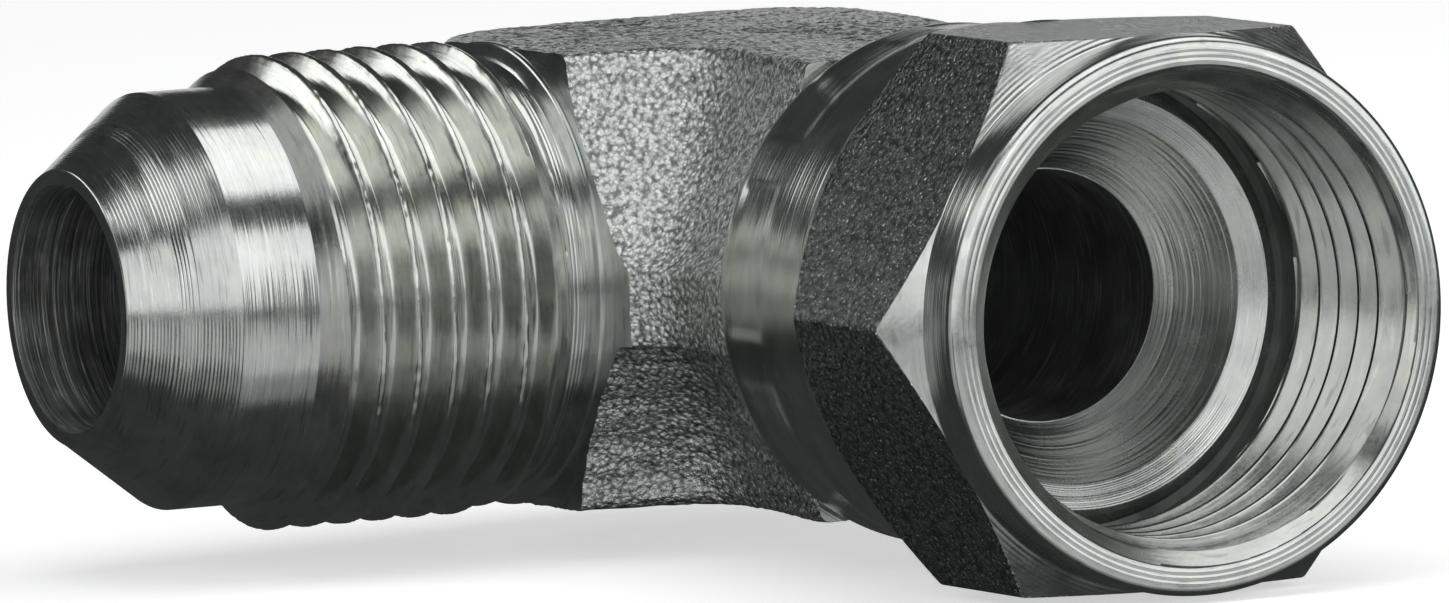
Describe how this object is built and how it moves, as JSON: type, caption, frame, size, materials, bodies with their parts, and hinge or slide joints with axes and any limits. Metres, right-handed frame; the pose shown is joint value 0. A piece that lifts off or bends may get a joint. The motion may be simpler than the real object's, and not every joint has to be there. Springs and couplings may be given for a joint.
{
  "type": "ninety degree swivel flare adapter",
  "caption": "Forged steel right-angle pipe adapter: a male flare cone with external thread on one arm, a free-turning hex swivel nut over a concave seat on the other.",
  "frame": {"origin": "the point where the centreline of the male arm crosses the centreline of the swivel arm, on the swivel-side flow bore's axis", "axes": "-X along the male arm towards its cone nose, -Y along the swivel arm towards the nut's mouth, +Z square to both, out of one forged flat"},
  "size_m": [0.0426, 0.0509, 0.022],
  "materials": {
    "forged_body": "bright zinc plate over a machined and grit-blasted steel forging",
    "nut": "bright zinc plate over a turned and cold-formed steel nut"
  },
  "bodies": {
    "elbow": {"elbow_body": "forged_body"},
    "nut": {"swivel_nut": "nut"}
  },
  "joints": [
    {"name": "nut_swivel", "type": "hinge", "parent": "elbow", "child": "nut", "pos_m": [0, -0.0262, 0], "axis": [0, -1, 0], "continuous": true}
  ]
}
